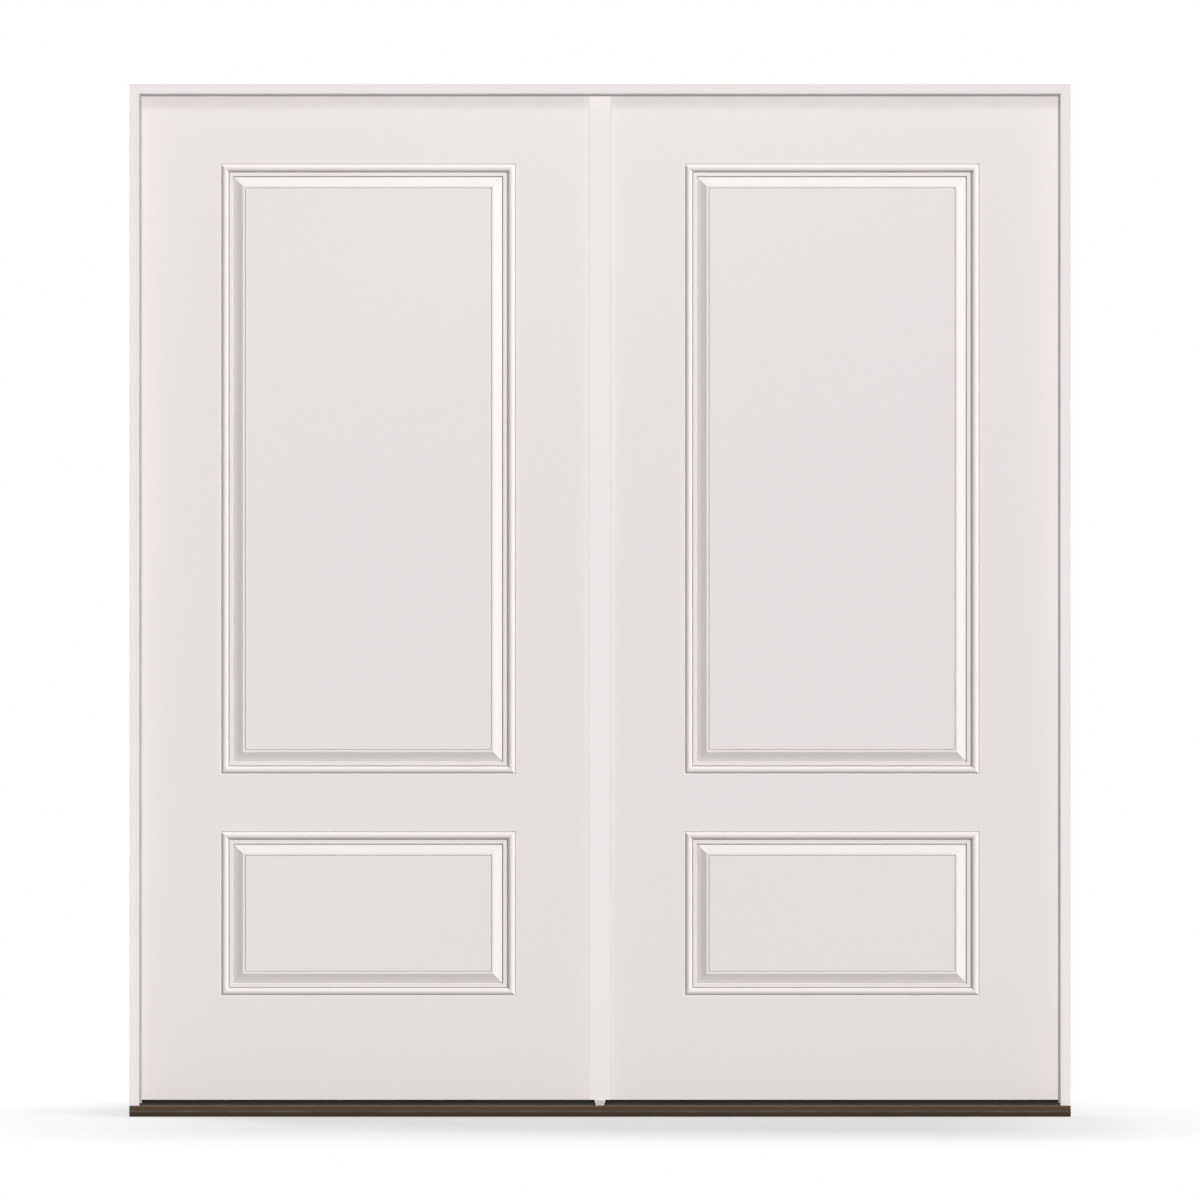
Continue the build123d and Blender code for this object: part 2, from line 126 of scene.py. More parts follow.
# %% Helpers for the nodes that are needed most
def object_place(tree):
    """Place on the piece itself, so that a pattern moves with it."""
    return add_node(tree, "ShaderNodeTexCoord").outputs["Object"]


def stretched_place(tree, squeeze):
    sockets = {"Vector": object_place(tree), "Scale": squeeze}
    return add_node(tree, "ShaderNodeMapping", sockets).outputs[0]


def noise(tree, place, scale, detail, roughness, distortion=0.0):
    sockets = {"Vector": place, "Scale": scale, "Detail": detail, "Roughness": roughness}
    return add_node(tree, "ShaderNodeTexNoise", sockets | {"Distortion": distortion}).outputs["Fac"]


def calculate(tree, operation, *values):
    return add_node(tree, "ShaderNodeMath", dict(enumerate(values)), operation=operation).outputs[0]


def remap(tree, value, start=0.0, end=1.0, low=0.0, high=1.0):
    """Takes a value from one range to another and keeps it inside."""
    sockets = {"Value": value, "From Min": start, "From Max": end, "To Min": low, "To Max": high}
    return add_node(tree, "ShaderNodeMapRange", sockets).outputs[0]


def mix_colors(tree, share, first, second, blend="MIX"):
    sockets = {"Factor": share, "A": first, "B": second}
    return add_node(tree, "ShaderNodeMix", sockets, data_type="RGBA", blend_type=blend).outputs["Result"]


def hand_out(group, leave, **outputs):
    """Links what a group has made to its outputs."""
    for title, socket in outputs.items():
        group.links.new(socket, leave.inputs[title])


# %% [markdown]
# ## Effects that several finishes share
# Paint is never one flat colour: it is a little warmer here and cooler there, and sprayed primer dries
# with a faint orange peel. Wood shows its grain even under paint. Rolled and drawn metal has fine lines
# along its length. All of these could be painted as images, but noise needs no image and never repeats.
# Each effect is a group with its own sizes, so that a finish only states amounts.

# %% Shared group: tone that drifts slowly over a surface
tone_drift, entry, leave = start_group(
    "tone drift",
    "ShaderNodeTree",
    {"Color": (COLOR, (1, 1, 1, 1)), "Shade": (COLOR, (0.9, 0.9, 0.9, 1)), "Scale": (FLOAT, 1.0)},
    {"Color": COLOR},
)
cloud = noise(tone_drift, object_place(tone_drift), entry.outputs["Scale"], detail=2.0, roughness=0.4)
drift_mask = remap(tone_drift, cloud, start=0.35, end=0.65)
drifted = mix_colors(tone_drift, drift_mask, entry.outputs["Color"], entry.outputs["Shade"])
hand_out(tone_drift, leave, Color=drifted)
print("group:", tone_drift.name, "nodes:", len(tone_drift.nodes))

# %% Shared group: orange peel of sprayed paint
PATCH_SCALE = 7.0
orange_peel, entry, leave = start_group(
    "orange peel",
    "ShaderNodeTree",
    {"Grain": (FLOAT, 500.0)},
    {"Height": FLOAT, "Mask": FLOAT},
)
place = object_place(orange_peel)
peel = noise(orange_peel, place, entry.outputs["Grain"], detail=3.0, roughness=0.55)
patch = noise(orange_peel, place, PATCH_SCALE, detail=3.0, roughness=0.6)
hand_out(orange_peel, leave, Height=peel, Mask=patch)
print("group:", orange_peel.name, "nodes:", len(orange_peel.nodes))

# %% Shared group: wood grain that runs along one axis
SWAY_SCALE, FIBRE_SCALE = 22.0, 420.0
RING_COUNT = 34.0
FIBRE_SHARE = 0.35
wood_grain, entry, leave = start_group(
    "wood grain",
    "ShaderNodeTree",
    {
        "Squeeze": (VECTOR, (1, 1, 1)),
        "Early Wood": (COLOR, (0.7, 0.5, 0.3, 1)),
        "Late Wood": (COLOR, (0.5, 0.3, 0.16, 1)),
    },
    {"Color": COLOR, "Height": FLOAT, "Fibre": FLOAT},
)
place = stretched_place(wood_grain, entry.outputs["Squeeze"])
sway = noise(wood_grain, place, SWAY_SCALE, detail=2.0, roughness=0.5, distortion=0.4)
rings = calculate(wood_grain, "MULTIPLY", sway, RING_COUNT)
ring_step = calculate(wood_grain, "FRACT", rings)
fibre = noise(wood_grain, place, FIBRE_SCALE, detail=3.0, roughness=0.6)
late_mask = remap(wood_grain, ring_step, start=0.2, high=0.75)
grain_mask = calculate(wood_grain, "MULTIPLY_ADD", fibre, FIBRE_SHARE, late_mask)
grain = mix_colors(wood_grain, grain_mask, entry.outputs["Early Wood"], entry.outputs["Late Wood"])
hand_out(wood_grain, leave, Color=grain, Height=grain_mask, Fibre=fibre)
print("group:", wood_grain.name, "nodes:", len(wood_grain.nodes))

# %% Shared group: fine lines along a rolled or drawn metal
SMUDGE_SCALE = 18.0
drawn_lines, entry, leave = start_group(
    "drawn lines",
    "ShaderNodeTree",
    {"Squeeze": (VECTOR, (1, 1, 1)), "Grain": (FLOAT, 900.0)},
    {"Height": FLOAT, "Mask": FLOAT},
)
place = stretched_place(drawn_lines, entry.outputs["Squeeze"])
lines = noise(drawn_lines, place, entry.outputs["Grain"], detail=4.0, roughness=0.65)
smudge = noise(drawn_lines, object_place(drawn_lines), SMUDGE_SCALE, detail=4.0, roughness=0.6)
hand_out(drawn_lines, leave, Height=lines, Mask=smudge)
print("group:", drawn_lines.name, "nodes:", len(drawn_lines.nodes))

# %% [markdown]
# ## Painted and moulded finishes
# The leaves leave the works in a satin primer, and the seals, sweeps and sill cap are moulded. All of
# these have a colour that drifts, a fine orange peel and a gloss that wanders a little, so one function
# makes them all. Each finish gives its colour and shade, the range of its roughness, the grain and
# strength of its peel, and how quickly its colour drifts.

# %% Function for a sprayed or moulded finish
PEEL_DEPTH = 0.3 * MM
NOISE_LOW, NOISE_HIGH = 0.3, 0.7
DEFAULT_SPECULAR = 0.5


def link_roughness(tree, shader, mask, low, high):
    """Roughness that follows a mask; noise seldom leaves the middle of its range."""
    tree.links.new(remap(tree, mask, NOISE_LOW, NOISE_HIGH, low, high), shader.inputs["Roughness"])


def link_bump(tree, shader, height, strength, distance):
    bump = add_node(tree, "ShaderNodeBump", {"Height": height, "Strength": strength, "Distance": distance})
    tree.links.new(bump.outputs[0], shader.inputs["Normal"])


def link_tone(tree, shader, color, shade, scale):
    sockets = {"Color": (*color, 1), "Shade": (*shade, 1), "Scale": scale}
    tree.links.new(place_group(tree, tone_drift, sockets).outputs["Color"], shader.inputs["Base Color"])


def sprayed(name, color, shade, roughness, peel, drift, specular=DEFAULT_SPECULAR):
    material, tree, shader = start_material(name, **{"Specular IOR Level": specular})
    link_tone(tree, shader, color, shade, drift)
    peel_grain, peel_strength = peel
    surface = place_group(tree, orange_peel, {"Grain": peel_grain})
    link_roughness(tree, shader, surface.outputs["Mask"], *roughness)
    link_bump(tree, shader, surface.outputs["Height"], peel_strength, PEEL_DEPTH)
    return material


# %% Paint on steel and aluminium
primed_steel = sprayed(
    "primed steel",
    color=(0.785, 0.752, 0.731),
    shade=(0.778, 0.733, 0.729),
    roughness=(0.48, 0.58),
    peel=(520.0, 0.1),
    drift=0.8,
    specular=0.16,
)
painted_aluminium = sprayed(
    "painted aluminium",
    color=(0.80, 0.763, 0.748),
    shade=(0.792, 0.748, 0.741),
    roughness=(0.36, 0.46),
    peel=(620.0, 0.05),
    drift=0.9,
)
print("finishes so far:", len(bpy.data.materials))

# %% Seals and plastics
grey_seal = sprayed(
    "grey seal",
    color=(0.42, 0.395, 0.395),
    shade=(0.39, 0.37, 0.37),
    roughness=(0.62, 0.75),
    peel=(900.0, 0.18),
    drift=9.0,
)
grey_plastic = sprayed(
    "grey plastic",
    color=(0.47, 0.445, 0.44),
    shade=(0.45, 0.425, 0.42),
    roughness=(0.45, 0.58),
    peel=(700.0, 0.1),
    drift=20.0,
)
black_vinyl = sprayed(
    "black vinyl",
    color=(0.022, 0.019, 0.016),
    shade=(0.017, 0.015, 0.013),
    roughness=(0.45, 0.58),
    peel=(800.0, 0.1),
    drift=8.0,
    specular=0.25,
)
print("finishes so far:", len(bpy.data.materials))

# %% Composites and foam
dark_composite = sprayed(
    "dark composite",
    color=(0.023, 0.0185, 0.0145),
    shade=(0.019, 0.015, 0.012),
    roughness=(0.50, 0.64),
    peel=(650.0, 0.16),
    drift=6.0,
    specular=0.2,
)
sill_composite = sprayed(
    "sill composite",
    color=(0.17, 0.145, 0.12),
    shade=(0.13, 0.11, 0.09),
    roughness=(0.62, 0.78),
    peel=(300.0, 0.35),
    drift=12.0,
)
foam_core = sprayed(
    "foam core",
    color=(0.80, 0.70, 0.42),
    shade=(0.74, 0.62, 0.34),
    roughness=(0.8, 0.95),
    peel=(700.0, 0.6),
    drift=25.0,
)
print("finishes so far:", len(bpy.data.materials))

# %% [markdown]
# ## Wood finishes
# The edges of the leaves are planed pine, and the frame is the same wood under white primer. Both use
# one grain, which runs along the piece: strong and in colour where the wood is bare, and only as a
# faint bump under the primer. Upright and level pieces need a finish each, because Object coordinates
# don't know which way a piece runs.

# %% Bare and primed wood
X_AXIS, Z_AXIS = 0, 2
WOOD_SQUEEZE = 0.03
GRAIN_DEPTH = 0.2 * MM
EARLY_WOOD, LATE_WOOD = (0.68, 0.49, 0.30, 1), (0.52, 0.335, 0.175, 1)
PRIMER, PRIMER_SHADE, PRIMER_DRIFT = (0.835, 0.79, 0.78), (0.825, 0.778, 0.768), 1.4


def along(axis, squeeze):
    """Scale that stretches a pattern along one axis."""
    return tuple(squeeze if i == axis else 1.0 for i in range(3))


def bare_wood(name, axis):
    material, tree, shader = start_material(name, **{"Specular IOR Level": 0.15})
    sockets = {"Squeeze": along(axis, WOOD_SQUEEZE), "Early Wood": EARLY_WOOD, "Late Wood": LATE_WOOD}
    grain = place_group(tree, wood_grain, sockets)
    tree.links.new(grain.outputs["Color"], shader.inputs["Base Color"])
    link_roughness(tree, shader, grain.outputs["Fibre"], low=0.72, high=0.88)
    link_bump(tree, shader, grain.outputs["Height"], strength=0.25, distance=GRAIN_DEPTH)
    return material


def primed_wood(name, axis):
    material, tree, shader = start_material(name, **{"Specular IOR Level": 0.2})
    link_tone(tree, shader, PRIMER, PRIMER_SHADE, PRIMER_DRIFT)
    grain = place_group(tree, wood_grain, {"Squeeze": along(axis, WOOD_SQUEEZE)})
    link_roughness(tree, shader, grain.outputs["Fibre"], low=0.42, high=0.54)
    link_bump(tree, shader, grain.outputs["Height"], strength=0.05, distance=GRAIN_DEPTH)
    return material


upright_finish = {
    "bare_wood": bare_wood("bare wood upright", Z_AXIS),
    "primed_wood": primed_wood("primed wood upright", Z_AXIS),
}
level_finish = {
    "bare_wood": bare_wood("bare wood level", X_AXIS),
    "primed_wood": primed_wood("primed wood level", X_AXIS),
}
print("finishes so far:", len(bpy.data.materials))

# %% [markdown]
# ## Metal finishes
# Hinges are satin nickel and the bolts are zinc plated. The sill is an extrusion in a dark bronze paint,
# so it is hardly metallic at all. Its round nose is light along the top and dark at the floor, where
# little light gets in under the overhang. That shade is also painted into the colour, darker along a bent
# curve towards the floor, because the studio's lamps alone leave the nose too even.

# %% Drawn metals and the bronze of the sill
METAL_SQUEEZE = 0.02
METAL_DRIFT = 5.0
LINE_DEPTH = 0.1 * MM


def drawn_metal(name, color, shade, axis, roughness, lines, grain, metallic=1.0, specular=DEFAULT_SPECULAR):
    material, tree, shader = start_material(name, **{"Metallic": metallic, "Specular IOR Level": specular})
    link_tone(tree, shader, color, shade, METAL_DRIFT)
    drawn = place_group(tree, drawn_lines, {"Squeeze": along(axis, METAL_SQUEEZE), "Grain": grain})
    link_roughness(tree, shader, drawn.outputs["Mask"], *roughness)
    link_bump(tree, shader, drawn.outputs["Height"], lines, LINE_DEPTH)
    return material


def paint_shade_downwards(material, top, share, bend):
    """Painted shade that keeps a share of the colour at the floor and all of it from a height up, on a bent
    curve.
    """
    tree = material.node_tree
    base = tree.nodes["Principled BSDF"].inputs["Base Color"]
    axes = add_node(tree, "ShaderNodeSeparateXYZ", {0: object_place(tree)})
    height = remap(tree, axes.outputs["Z"], end=top)
    level = remap(tree, calculate(tree, "POWER", height, bend), low=share)
    tree.links.new(mix_colors(tree, 1.0, base.links[0].from_socket, level, blend="MULTIPLY"), base)


bronze_aluminium = drawn_metal(
    "bronze aluminium",
    color=(0.115, 0.070, 0.040),
    shade=(0.104, 0.063, 0.036),
    axis=X_AXIS,
    roughness=(0.36, 0.48),
    lines=0.12,
    grain=700.0,
    metallic=0.1,
    specular=0.08,
)
# Painted shade: the sill's nose gets darker towards the floor, where little light gets in.
paint_shade_downwards(bronze_aluminium, top=22 * MM, share=0.26, bend=3.0)
hinge_steel = drawn_metal(
    "satin nickel",
    color=(0.54, 0.52, 0.49),
    shade=(0.49, 0.47, 0.445),
    axis=Z_AXIS,
    roughness=(0.26, 0.38),
    lines=0.10,
    grain=1200.0,
)
bolt_steel = drawn_metal(
    "zinc plate",
    color=(0.62, 0.62, 0.61),
    shade=(0.52, 0.53, 0.54),
    axis=Z_AXIS,
    roughness=(0.30, 0.46),
    lines=0.12,
    grain=1000.0,
)
print("finishes:", [material.name for material in bpy.data.materials if material.use_nodes])

# %% [markdown]
# ## Finishes on the solids
# The record of the model names a material slot for each solid. The slot picks the finish, and wood also
# needs to know which way the piece runs, because its grain follows the length.

# %% Give each solid its finish
slot_finish = {
    "primed_steel": primed_steel,
    "painted_aluminium": painted_aluminium,
    "grey_seal": grey_seal,
    "grey_plastic": grey_plastic,
    "bronze_aluminium": bronze_aluminium,
    "dark_composite": dark_composite,
    "sill_composite": sill_composite,
    "black_vinyl": black_vinyl,
    "foam": foam_core,
    "hinge_steel": hinge_steel,
    "bolt_steel": bolt_steel,
}
node_slot = {part["node"]: part["material_slot"] for part in frame["record"]["subparts"]}


def finish_of(name):
    slot = node_slot[name]
    if slot in slot_finish:
        return slot_finish[slot]
    low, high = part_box(name)
    size = high - low
    return upright_finish[slot] if size.z > size.x else level_finish[slot]


for name, solid in nodes.items():
    solid.data.materials.clear()
    solid.data.materials.append(finish_of(name))
print("solids with a finish:", len(nodes))

# %% [markdown]
# ## Stamped steel skins
# A press forms each skin from one sheet: a small groove called a quirk, a round bead, a crease, a flat
# band, a deep trough, a long bevel and a scored rim run round each raised panel, with mitred corners.
# The solid has that form with sharp folds. Real sheet folds over a small radius, and it is that radius
# which catches the light. A bevel modifier would give all folds of the solid one radius, so each skin
# is built again from a profile in which every fold has its own.

# %% Profile of the moulding
# Points give the reach in from the panel's outer edge, the height out from the face, and the fold's
# radius, all in millimetres.
QUIRK = [(0.1, 0.0, 0.3), (1.7, -1.9, 0.2)]
BEAD_START, BEAD_CREST, BEAD_SHOULDER = (2.2, -1.7), (9.2, 3.4), (16.0, -0.6)
INNER_FOLDS = [
    (16.2, -4.0, 0.2),
    (17.9, -4.0, 0.2),
    (18.3, -1.0, 0.3),
    (25.5, -1.0, 0.3),
    (25.8, -5.0, 0.2),
    (27.1, -5.0, 0.2),
    (27.4, -3.6, 0.2),
    (33.2, -1.4, 4.0),
    (39.0, 1.3, 4.0),
    (44.9, 4.2, 0.4),
    (48.5, 4.2, 0.25),
    (49.2, 2.0, 0.2),
    (50.2, 2.0, 0.2),
    (50.9, 4.2, 0.25),
]
# Flat sheet beyond the first and the last fold, which gives those folds their direction.
FLAT_RUN = Vector((5.0, 0.0))
print("folds:", len(QUIRK) + len(INNER_FOLDS), "reach in mm:", INNER_FOLDS[-1][0])

# %% Rings of the moulding, with round folds and a round bead
BEAD_STEPS = 16
FOLD_STEPS = 4
FOLD_REACH_SHARE = 0.45


def circle_through(a, b, c):
    """Centre of the circle through three points of the profile."""
    (ax, ay), (bx, by), (cx, cy) = a, b, c
    d = 2 * (ax * (by - cy) + bx * (cy - ay) + cx * (ay - by))
    squares = [x * x + y * y for x, y in (a, b, c)]
    x = (squares[0] * (by - cy) + squares[1] * (cy - ay) + squares[2] * (ay - by)) / d
    y = (squares[0] * (cx - bx) + squares[1] * (ax - cx) + squares[2] * (bx - ax)) / d
    return Vector((x, y))


def bead_points():
    """Points along the round bead, from its start over the crest to its shoulder."""
    centre = circle_through(BEAD_START, BEAD_CREST, BEAD_SHOULDER)
    start, end = Vector(BEAD_START) - centre, Vector(BEAD_SHOULDER) - centre
    first, last = math.atan2(start.y, start.x), math.atan2(end.y, end.x)
    angles = [first + (last - first) * step / BEAD_STEPS for step in range(BEAD_STEPS + 1)]
    return [centre + start.length * Vector((math.cos(a), math.sin(a))) for a in angles]


def round_fold(before, corner, after, radius):
    """Points along a curve that rounds one fold."""
    back = (before - corner).normalized()
    ahead = (after - corner).normalized()
    reach = radius / math.tan(back.angle(ahead) / 2)
    reach = min(reach, FOLD_REACH_SHARE * min((before - corner).length, (after - corner).length))
    start, end = corner + back * reach, corner + ahead * reach
    shares = [step / FOLD_STEPS for step in range(FOLD_STEPS + 1)]
    return [start * (1 - t) ** 2 + corner * 2 * t * (1 - t) + end * t**2 for t in shares]


def moulding_profile():
    """Reach and height of each ring of the moulding."""
    corners = [(Vector(fold[:2]), fold[2]) for fold in QUIRK]
    corners += [(point, 0.0) for point in bead_points()]
    corners += [(Vector(fold[:2]), fold[2]) for fold in INNER_FOLDS]
    outside = corners[0][0] - FLAT_RUN
    inside = corners[-1][0] + FLAT_RUN
    line = [outside, *(corner for corner, radius in corners), inside]
    points = []
    for before, (corner, radius), after in zip(line, corners, line[2:]):
        points += round_fold(before, corner, after, radius) if radius else [corner]
    return points


moulding = moulding_profile()
print("rings in the moulding:", len(moulding))

# %% [markdown]
# ## The sheet around the panels
# Both long edges of a skin fold back round the leaf, and the hinge edge has a pocket for each hinge
# leaf. The pockets could be cut with a boolean, but a strip of quads with some left out is plainer. The
# panels are rings of the profile joined to each other, which gives exact mitres, and the flat sheet is
# filled between the outline and the rings.

# %% Where a skin lies, and the folds at its long edges
PLACES = ["top", "middle", "bottom"]
EDGE_RADIUS = 1.2 * MM
EDGE_STEPS = 4
RETURN_DEPTH = 10 * MM
POCKET_GAP = 0.3 * MM


class SkinPlace:
    """Plane, edges and hinge pockets of one skin, read from the solids."""

    def __init__(self, side, face):
        low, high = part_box(f"{side}_{face}_skin")
        hinge_leaves = [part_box(f"{side}_{place}_door_hinge_leaf") for place in PLACES]
        self.bottom, self.top = low.z, high.z
        self.outwards = -1 if face == "exterior" else 1
        self.face_y = high.y - RETURN_DEPTH if face == "exterior" else low.y + RETURN_DEPTH
        self.hinge_x, self.meeting_x = (low.x, high.x) if side == "left" else (high.x, low.x)
        self.to_meeting = 1 if side == "left" else -1
        self.pockets = sorted((a.z - POCKET_GAP, b.z + POCKET_GAP) for a, b in hinge_leaves)
        self.pocket_y = hinge_leaves[0][0].y - POCKET_GAP

    def in_pocket(self, y, z):
        return y > self.pocket_y and any(bottom < z < top for bottom, top in self.pockets)

    def edge_section(self, edge_x, inwards):
        """Fold from the face round to the end of the return, as (x, y) points."""
        points = []
        for step in range(EDGE_STEPS + 1):
            turn = math.pi / 2 * step / EDGE_STEPS
            across = edge_x + inwards * EDGE_RADIUS * (1 - math.sin(turn))
            points.append((across, self.face_y - self.outwards * EDGE_RADIUS * (1 - math.cos(turn))))
        end_y = self.face_y - self.outwards * RETURN_DEPTH
        if self.face_y < self.pocket_y < end_y:
            points.append((edge_x, self.pocket_y))
        return points + [(edge_x, end_y)]


def edge_strip(bm, rows, section, left_out):
    """Quads between rows of heights along a section; left_out(y, z) drops a quad by its middle."""
    grid = [[bm.verts.new((x, y, z)) for x, y in section] for z in rows]
    for lower, upper in zip(grid, grid[1:]):
        for a, b, c, d in zip(lower, lower[1:], upper[1:], upper):
            middle = (a.co + b.co + c.co + d.co) / 4
            if not left_out(middle.y, middle.z):
                bm.faces.new((a, b, c, d))
    return grid


print("plane of the left outer skin in mm:", round(SkinPlace("left", "exterior").face_y / MM, 2))

# %% Outline of the flat sheet and rings of a panel
POCKET_DEPTH = 2.5 * MM
PANEL_WIDTH = 594.2 * MM
PANEL_OFFSET = 466.5 * MM
PANELS = [(407.5 * MM, 332.2 * MM), (1302 * MM, 1229.2 * MM)]
RING_CORNERS = [(-1, -1), (1, -1), (1, 1), (-1, 1)]


def sheet_outline(bm, skin):
    """Folds both long edges and returns the vertices round the flat face, notched at the pockets."""
    rows = sorted({skin.bottom, skin.top, *(z for pocket in skin.pockets for z in pocket)})
    hinge_section = skin.edge_section(skin.hinge_x, skin.to_meeting)
    hinge_grid = edge_strip(bm, rows, hinge_section, skin.in_pocket)
    meeting_section = skin.edge_section(skin.meeting_x, -skin.to_meeting)
    meeting_grid = edge_strip(bm, [skin.bottom, skin.top], meeting_section, lambda y, z: False)
    notched = [skin.in_pocket(skin.face_y, (a + b) / 2) for a, b in zip(rows, rows[1:])]
    outline = []
    for row, z, below, above in zip(hinge_grid, rows, [False, *notched], [*notched, False]):
        corner = [row[0]]
        if below != above:
            notch = bm.verts.new((skin.hinge_x + skin.to_meeting * POCKET_DEPTH, skin.face_y, z))
            corner = [notch, row[0]] if below else [row[0], notch]
        outline += corner
    return outline + [meeting_grid[1][0], meeting_grid[0][0]]


def loop_edges(bm, loop):
    """Edges round a closed loop of vertices, made where they are missing."""
    pairs = zip(loop, loop[1:] + loop[:1])
    return [bm.edges.get(pair) or bm.edges.new(pair) for pair in pairs]


def panel_rings(bm, skin, level, height):
    """Moulding and field of one panel; returns the edges of its rim and those along its mitres."""
    centre_x = math.copysign(PANEL_OFFSET, skin.meeting_x + skin.hinge_x)
    rim, mitres, previous = [], [], None
    for reach, rise in moulding:
        half_x = PANEL_WIDTH / 2 - reach * MM
        half_z = height / 2 - reach * MM
        y = skin.face_y + skin.outwards * rise * MM
        ring = [bm.verts.new((centre_x + sx * half_x, y, level + sz * half_z)) for sx, sz in RING_CORNERS]
        if previous:
            for i in range(4):
                j = (i + 1) % 4
                bm.faces.new((previous[i], previous[j], ring[j], ring[i]))
            mitres += [bm.edges.get(pair) for pair in zip(previous, ring)]
        else:
            rim = loop_edges(bm, ring)
        previous = ring
    bm.faces.new(previous)
    return rim, mitres


# %% The four skins
SHEET = 0.7 * MM
SHARP_FOLD = math.radians(38)
LEAF_BODY = {"left": "passive_leaf", "right": "active_leaf"}


def smooth_piece(bm, name, finish, creases=(), thickness=None):
    """Object from a bmesh: sharp folds stay sharp, flat faces stay flat, and a sheet gets its thickness."""
    for face in bm.faces:
        face.smooth = True
    for edge in bm.edges:
        edge.smooth = edge.calc_face_angle(0) < SHARP_FOLD
    for edge in creases:
        edge.smooth = False
    mesh = bpy.data.meshes.new(name)
    bm.to_mesh(mesh)
    bm.free()
    mesh.materials.append(finish)
    piece = bpy.data.objects.new(name, mesh)
    scene.collection.objects.link(piece)
    if thickness:
        solidify = piece.modifiers.new("sheet", "SOLIDIFY")
        solidify.thickness = thickness
        solidify.offset = -1
    weighted = piece.modifiers.new("flat faces first", "WEIGHTED_NORMAL")
    weighted.keep_sharp = True
    return piece


def skin_piece(side, face):
    skin = SkinPlace(side, face)
    bm = bmesh.new()
    fill_edges = loop_edges(bm, sheet_outline(bm, skin))
    mitres = []
    for level, height in PANELS:
        rim, corners = panel_rings(bm, skin, level, height)
        fill_edges += rim
        mitres += corners
    bmesh.ops.triangle_fill(bm, use_beauty=True, use_dissolve=False, edges=fill_edges)
    loose = [vertex for vertex in bm.verts if not vertex.link_faces]
    bmesh.ops.delete(bm, geom=loose, context="VERTS")
    bmesh.ops.recalc_face_normals(bm, faces=bm.faces)
    facing = sum(made.normal.y * made.calc_area() for made in bm.faces)
    if facing * skin.outwards < 0:
        bmesh.ops.reverse_faces(bm, faces=bm.faces)
    return smooth_piece(bm, f"{side}_{face}_skin_sheet", primed_steel, mitres, SHEET)


for side, body in LEAF_BODY.items():
    for face in ("exterior", "interior"):
        piece = skin_piece(side, face)
        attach(piece, body)
        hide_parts(f"{side}_{face}_skin")
        print(piece.name, "faces:", len(piece.data.polygons))

# %% [markdown]
# ## Eased edges
# Planed wood and extruded metal never end in a perfect corner. A copy of each frame member has its loose
# triangles joined into faces, and its long corners are then rounded by a millimetre or so. The rounding
# is what draws a thin line of shade along the frame and the astragal. A bevel in the shader would look
# the same from afar, but it leaves nothing in the mesh.

# %% Copies of frame members with eased corners
WELD = 0.01 * MM
FLAT_ENOUGH = math.radians(0.5)
LONG_EDGE = 200 * MM
EASE_STEPS = 3
ROOM_FOR_EASE = 3
ROUND_PROFILE = 0.5
EASES = {
    "left_jamb": 1.2 * MM,
    "right_jamb": 1.2 * MM,
    "head_jamb": 1.2 * MM,
    "astragal": 1.0 * MM,
    "sill_deck": 0.8 * MM,
    "sill_cap": 1.0 * MM,
}
body_of = {name: body for body, names in frame["record"]["behaviour"]["bodies"].items() for name in names}


def can_be_eased(edge, ease):
    """Whether an edge is long and sharp, and both its faces have room for the easing."""
    length = edge.calc_length()
    if length <= LONG_EDGE or edge.calc_face_angle(0) <= SHARP_FOLD:
        return False
    return all(face.calc_area() / length > ROOM_FOR_EASE * ease for face in edge.link_faces)


def eased_copy(name, ease):
    bm = bmesh.new()
    bm.from_mesh(nodes[name].data)
    bmesh.ops.remove_doubles(bm, verts=bm.verts, dist=WELD)
    bmesh.ops.dissolve_limit(bm, angle_limit=FLAT_ENOUGH, verts=bm.verts, edges=bm.edges)
    corners = [edge for edge in bm.edges if can_be_eased(edge, ease)]
    rounding = {"segments": EASE_STEPS, "profile": ROUND_PROFILE, "affect": "EDGES"}
    bmesh.ops.bevel(bm, geom=corners, offset=ease, **rounding)
    piece = smooth_piece(bm, f"{name}_eased", finish_of(name))
    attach(piece, body_of[name])
    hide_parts(name)
    print(piece.name, "eased corners:", len(corners), "faces:", len(piece.data.polygons))
    return piece


shown = dict(nodes)
for name, ease in EASES.items():
    shown[name] = eased_copy(name, ease)

# %% [markdown]
# ## Screws, pin tips and thumb ridges
# Small pieces that repeat are left to Geometry Nodes. A mesh of bare points carries the place of each
# copy and, in an attribute, the way it faces. The tree builds one copy, sets it on every point, turns
# it to face that way and makes the copies real. The same tree then serves hinges, strike, sill and
# astragal, with other sizes set on the modifier. A loop in Python could do it too, but in the tree a
# size is changed in one place and every copy follows.

# %% Tree that sets a copy on every point
GEOMETRY, MATERIAL = "NodeSocketGeometry", "NodeSocketMaterial"
TURN_SEED = 7
UP, DOWN, RIGHT = (0, 0, 1), (0, 0, -1), (1, 0, 0)


def facing_rotation(tree, entry):
    """Rotation that turns a copy to its point's own way, then spins it by a random share of Turn."""
    facing = add_node(tree, "GeometryNodeInputNamedAttribute", {"Name": "facing"}, data_type="FLOAT_VECTOR")
    aligned = add_node(tree, "FunctionNodeAlignRotationToVector", {"Vector": facing.outputs[0]}, axis="Z")
    limits = {"Max": entry.outputs["Turn"], "Seed": TURN_SEED}
    turn = add_node(tree, "FunctionNodeRandomValue", limits, data_type="FLOAT")
    spin = add_node(tree, "FunctionNodeAxisAngleToRotation", {"Axis": UP, "Angle": turn.outputs[1]})
    both = {0: aligned.outputs[0], 1: spin.outputs[0]}
    return add_node(tree, "FunctionNodeRotateRotation", both, rotation_space="LOCAL").outputs[0]


